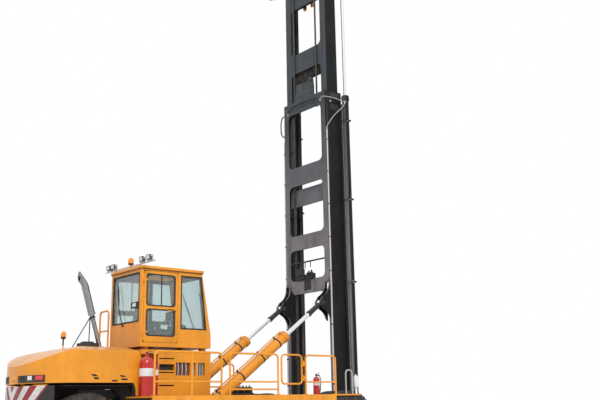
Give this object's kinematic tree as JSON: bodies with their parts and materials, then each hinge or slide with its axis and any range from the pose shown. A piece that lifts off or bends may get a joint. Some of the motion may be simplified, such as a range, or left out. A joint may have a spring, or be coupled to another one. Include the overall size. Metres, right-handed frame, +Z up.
{
  "type": "mast-type empty container handler",
  "caption": "Heavy lift truck with raised telescopic mast, telescopic side-lift spreader, cab over chassis, twin drive tyres, steered rear wheels, railed walkways and an arched rear hood.",
  "frame": {"origin": "on the floor, midway along and across the whole machine", "axes": "+X forward towards the mast, +Y to the driver's left, +Z up"},
  "size_m": [9.344, 6.042, 15.7899],
  "materials": {
    "yellow_paint": "gloss paint over steel, dusty",
    "hood_paint": "gloss paint on a moulded hood",
    "rail_paint": "gloss paint on tube",
    "rim_paint": "gloss paint on pressed steel",
    "frame_black": "satin black paint",
    "mast_paint": "satin dark grey paint, greased",
    "tyre_rubber": "moulded rubber",
    "rod_chrome": "hard chrome, ground",
    "chain_steel": "oiled leaf chain",
    "lock_steel": "forged and plated steel",
    "cab_paint": "gloss paint on cab panels",
    "window_glass": "toughened glass",
    "seat_fabric": "woven seat cloth and black plastic",
    "light_metal": "bare aluminium with black lamp bodies",
    "amber_lens": "amber lens on a black stalk",
    "exhaust_steel": "stainless heat shield",
    "intake_plastic": "moulded black plastic",
    "extinguisher_red": "gloss red paint",
    "engine_iron": "painted cast iron"
  },
  "bodies": {
    "machine": {"chassis": "yellow_paint", "counterweight": "yellow_paint", "engine": "engine_iron", "drive_axle": "frame_black", "steer_axle": "frame_black", "platform_left": "yellow_paint", "handrail_left": "rail_paint", "platform_right": "yellow_paint", "handrail_right": "rail_paint", "fuel_tank": "yellow_paint", "hydraulic_tank": "yellow_paint", "extinguishers": "extinguisher_red", "valve_block": "frame_black", "cab_base": "yellow_paint", "cab_shell": "cab_paint", "cab_glass": "window_glass", "cab_seat": "seat_fabric", "roof_lights": "light_metal", "balcony_left": "rail_paint", "roof_beacon": "amber_lens"},
    "hood": {"hood": "hood_paint", "exhaust": "exhaust_steel", "air_intake": "intake_plastic", "hood_lamps": "amber_lens", "exhaust_stays": "frame_black", "rear_lamps": "intake_plastic"},
    "wheel_front_left": {"tyres_front_left": "tyre_rubber", "rims_front_left": "rim_paint"},
    "wheel_front_right": {"tyres_front_right": "tyre_rubber", "rims_front_right": "rim_paint"},
    "knuckle_left": {"knuckle_left": "frame_black"},
    "wheel_rear_left": {"tyre_rear_left": "tyre_rubber", "rim_rear_left": "rim_paint"},
    "knuckle_right": {"knuckle_right": "frame_black"},
    "wheel_rear_right": {"tyre_rear_right": "tyre_rubber", "rim_rear_right": "rim_paint"},
    "gate_left": {"gate_left": "rail_paint"},
    "gate_right": {"gate_right": "rail_paint"},
    "door_left": {"door_left": "cab_paint", "door_glass_left": "window_glass"},
    "door_right": {"door_right": "cab_paint", "door_glass_right": "window_glass"},
    "tilt_barrel_left": {"tilt_barrel_left": "yellow_paint"},
    "tilt_rod_left": {"tilt_rod_left": "rod_chrome"},
    "tilt_barrel_right": {"tilt_barrel_right": "yellow_paint"},
    "tilt_rod_right": {"tilt_rod_right": "rod_chrome"},
    "mast": {"outer_mast": "mast_paint", "lift_barrels": "mast_paint", "anchor_chains": "chain_steel"},
    "inner_mast": {"inner_mast": "mast_paint", "lift_rods": "rod_chrome", "chain_sheaves": "chain_steel", "lift_chains": "chain_steel"},
    "carriage": {"carriage": "mast_paint"},
    "spreader": {"spreader_frame": "yellow_paint"},
    "arm_left": {"spreader_arm_left": "yellow_paint"},
    "arm_right": {"spreader_arm_right": "yellow_paint"},
    "lock_left": {"lock_left": "lock_steel"},
    "lock_right": {"lock_right": "lock_steel"}
  },
  "joints": [
    {"name": "wheel_front_left_spin", "type": "hinge", "parent": "machine", "child": "wheel_front_left", "pos_m": [2.798, 1.83, 0.76], "axis": [0, 1, 0], "continuous": true},
    {"name": "wheel_front_right_spin", "type": "hinge", "parent": "machine", "child": "wheel_front_right", "pos_m": [2.798, -1.83, 0.76], "axis": [0, 1, 0], "continuous": true},
    {"name": "steer_left", "type": "hinge", "parent": "machine", "child": "knuckle_left", "pos_m": [-3.622, 0.76, 0.76], "axis": [0, 0, 1], "range_deg": [-60, 60]},
    {"name": "steer_right", "type": "hinge", "parent": "machine", "child": "knuckle_right", "pos_m": [-3.622, -0.76, 0.76], "axis": [0, 0, 1], "range_deg": [-60, 60]},
    {"name": "wheel_rear_left_spin", "type": "hinge", "parent": "knuckle_left", "child": "wheel_rear_left", "pos_m": [-3.622, 1.09, 0.76], "axis": [0, 1, 0], "continuous": true},
    {"name": "wheel_rear_right_spin", "type": "hinge", "parent": "knuckle_right", "child": "wheel_rear_right", "pos_m": [-3.622, -1.09, 0.76], "axis": [0, 1, 0], "continuous": true},
    {"name": "hood_hinge", "type": "hinge", "parent": "machine", "child": "hood", "pos_m": [-4.592, 0, 1.72], "axis": [0, -1, 0], "range_deg": [0, 40]},
    {"name": "gate_left_hinge", "type": "hinge", "parent": "machine", "child": "gate_left", "pos_m": [1.288, 2.06, 1.93], "axis": [0, 0, 1], "range_deg": [0, 90]},
    {"name": "gate_right_hinge", "type": "hinge", "parent": "machine", "child": "gate_right", "pos_m": [1.288, -2.06, 1.93], "axis": [0, 0, -1], "range_deg": [0, 90]},
    {"name": "door_left_hinge", "type": "hinge", "parent": "machine", "child": "door_left", "pos_m": [-2.146, 0.71, 3.3], "axis": [0, 0, 1], "range_deg": [0, 95]},
    {"name": "door_right_hinge", "type": "hinge", "parent": "machine", "child": "door_right", "pos_m": [-2.146, -0.71, 3.3], "axis": [0, 0, -1], "range_deg": [0, 95]},
    {"name": "mast_tilt", "type": "hinge", "parent": "machine", "child": "mast", "pos_m": [2.798, 0, 0.76], "axis": [0, 1, 0], "range_deg": [-5, 3]},
    {"name": "tilt_barrel_left_pivot", "type": "hinge", "parent": "machine", "child": "tilt_barrel_left", "pos_m": [-0.672, 0.8, 1.05], "axis": [0, 1, 0], "range_deg": [-2.41, 1.56]},
    {"name": "tilt_rod_left_slide", "type": "slide", "parent": "tilt_barrel_left", "child": "tilt_rod_left", "axis": [0.8042, 0, 0.5943], "range_m": [-0.2043, 0.1242]},
    {"name": "tilt_barrel_right_pivot", "type": "hinge", "parent": "machine", "child": "tilt_barrel_right", "pos_m": [-0.672, -0.8, 1.05], "axis": [0, 1, 0], "range_deg": [-2.41, 1.56]},
    {"name": "tilt_rod_right_slide", "type": "slide", "parent": "tilt_barrel_right", "child": "tilt_rod_right", "axis": [0.8042, 0, 0.5943], "range_m": [-0.2043, 0.1242]},
    {"name": "mast_lift", "type": "slide", "parent": "mast", "child": "inner_mast", "axis": [0, 0, 1], "range_m": [-6, 1.1], "deforming": ["anchor_chains"]},
    {"name": "carriage_lift", "type": "slide", "parent": "inner_mast", "child": "carriage", "axis": [0, 0, 1], "range_m": [-6, 1.1], "deforming": ["lift_chains"]},
    {"name": "side_shift", "type": "slide", "parent": "carriage", "child": "spreader", "axis": [0, 1, 0], "range_m": [-0.5, 0.5]},
    {"name": "arm_left_slide", "type": "slide", "parent": "spreader", "child": "arm_left", "axis": [0, 1, 0], "range_m": [0, 3.066]},
    {"name": "arm_right_slide", "type": "slide", "parent": "spreader", "child": "arm_right", "axis": [0, -1, 0], "range_m": [0, 3.066]},
    {"name": "lock_left_turn", "type": "hinge", "parent": "arm_left", "child": "lock_left", "pos_m": [4.572, 2.926, 14.45], "axis": [0, 0, 1], "range_deg": [0, 90]},
    {"name": "lock_right_turn", "type": "hinge", "parent": "arm_right", "child": "lock_right", "pos_m": [4.572, -2.926, 14.45], "axis": [0, 0, 1], "range_deg": [0, 90]}
  ],
  "couplings": [
    {"joint": "steer_right", "follows": "steer_left", "ratio": 1},
    {"joint": "carriage_lift", "follows": "mast_lift", "ratio": 1},
    {"joint": "arm_right_slide", "follows": "arm_left_slide", "ratio": 1},
    {"joint": "lock_right_turn", "follows": "lock_left_turn", "ratio": 1},
    {"joint": "tilt_barrel_left_pivot", "follows": "mast_tilt", "ratio": 0.42151},
    {"joint": "tilt_rod_left_slide", "follows": "mast_tilt", "m_per_rad": 2.2955},
    {"joint": "tilt_barrel_right_pivot", "follows": "mast_tilt", "ratio": 0.42151},
    {"joint": "tilt_rod_right_slide", "follows": "mast_tilt", "m_per_rad": 2.2955}
  ]
}
